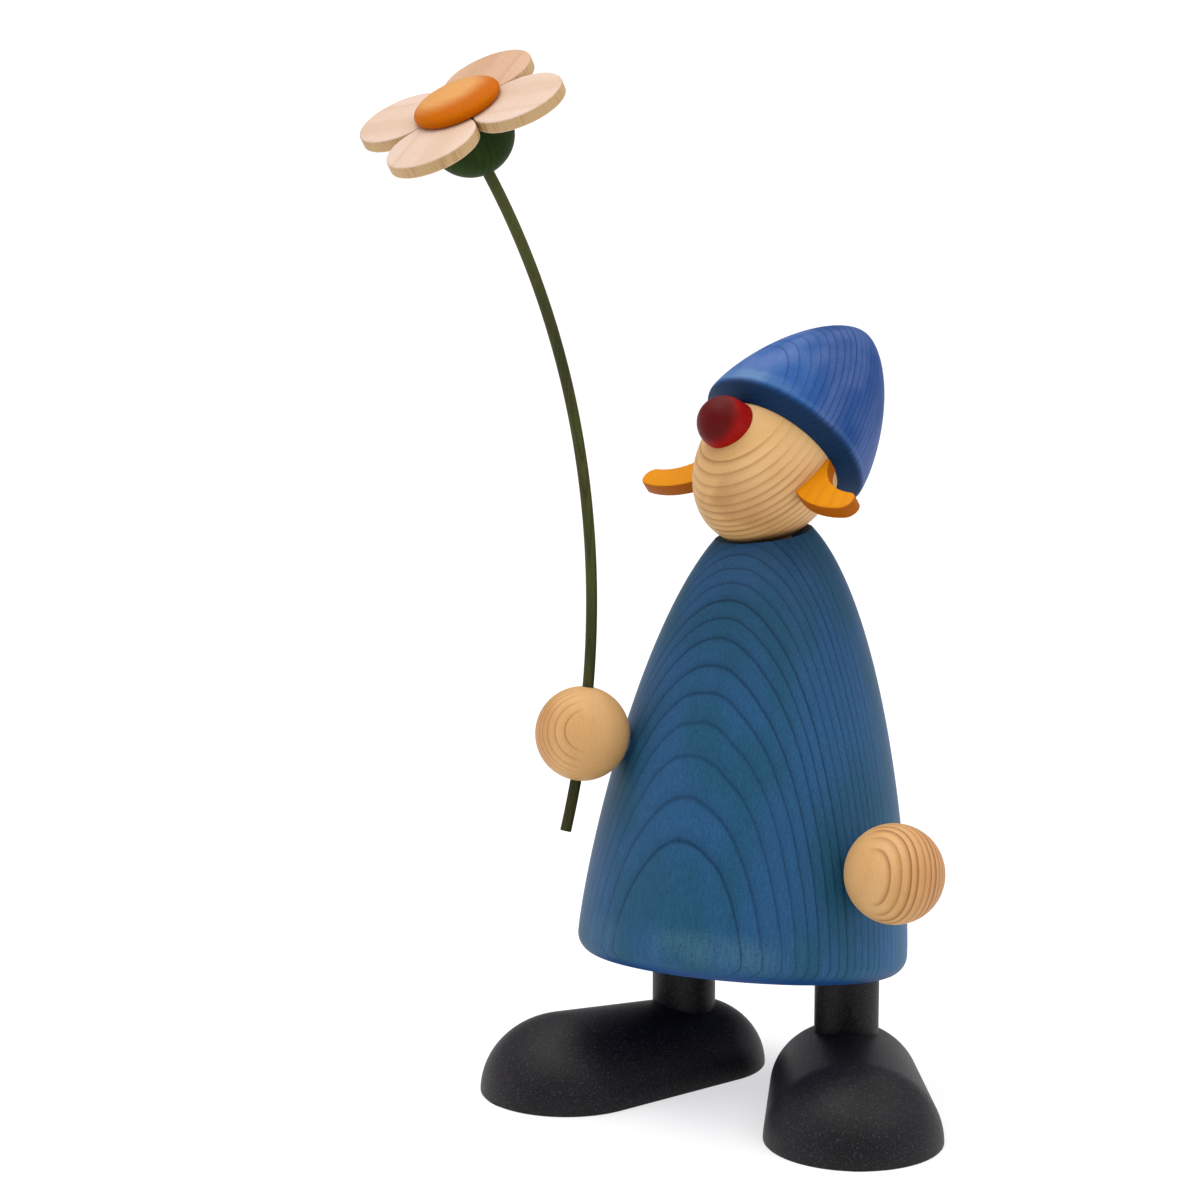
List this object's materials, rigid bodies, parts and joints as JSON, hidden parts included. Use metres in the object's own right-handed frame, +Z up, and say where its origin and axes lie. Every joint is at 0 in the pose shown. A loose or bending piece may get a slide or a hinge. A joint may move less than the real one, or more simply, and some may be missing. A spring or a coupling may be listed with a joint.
{
  "type": "wooden gnome figurine",
  "caption": "Turned-wood gnome with a leaning coat and a cap, standing on splayed shoes and holding out a wooden flower on a bent stem; its head turns and the stem slides.",
  "frame": {"origin": "on the ground, under the middle of the bounding box", "axes": "+Z up, the figure faces -Y, +X towards the figure's left hand"},
  "size_m": [0.1099, 0.1112, 0.2146],
  "materials": {
    "blue_stain": "blue stain with the grain showing, satin",
    "raw_wood": "bare turned wood, satin",
    "black_stain": "black stain, matte",
    "red_stain": "red stain, satin",
    "amber_stain": "amber stain, satin",
    "stem_green": "olive green stain, matte",
    "calyx_green": "dark green stain, matte",
    "petal_wood": "bare pale wood, matte",
    "orange_stain": "orange stain, satin"
  },
  "bodies": {
    "figure": {"coat": "blue_stain", "neck_dowel": "raw_wood", "right_hand": "raw_wood", "left_hand": "raw_wood", "right_hand_dowel": "raw_wood", "left_hand_dowel": "raw_wood", "right_leg": "black_stain", "left_leg": "black_stain", "right_shoe": "black_stain", "left_shoe": "black_stain"},
    "head": {"head": "raw_wood", "nose": "red_stain", "left_ear": "amber_stain", "right_ear": "amber_stain", "cap": "blue_stain", "cap_dowel": "raw_wood"},
    "flower": {"stem": "stem_green", "calyx": "calyx_green", "petal_right": "petal_wood", "petal_back": "petal_wood", "petal_left": "petal_wood", "petal_front": "petal_wood", "flower_pin": "raw_wood", "flower_button": "orange_stain"}
  },
  "joints": [
    {"name": "head_turn", "type": "hinge", "parent": "figure", "child": "head", "pos_m": [0.00354, 0.02399, 0.09785], "axis": [-0.0077, 0.1633, 0.9865], "range_deg": [-20, 20]},
    {"name": "flower_slide", "type": "hinge", "parent": "figure", "child": "flower", "pos_m": [-0.07362, -0.15047, 0.10437], "axis": [0.9432, -0.3322, 0], "range_deg": [-10, 3]}
  ]
}
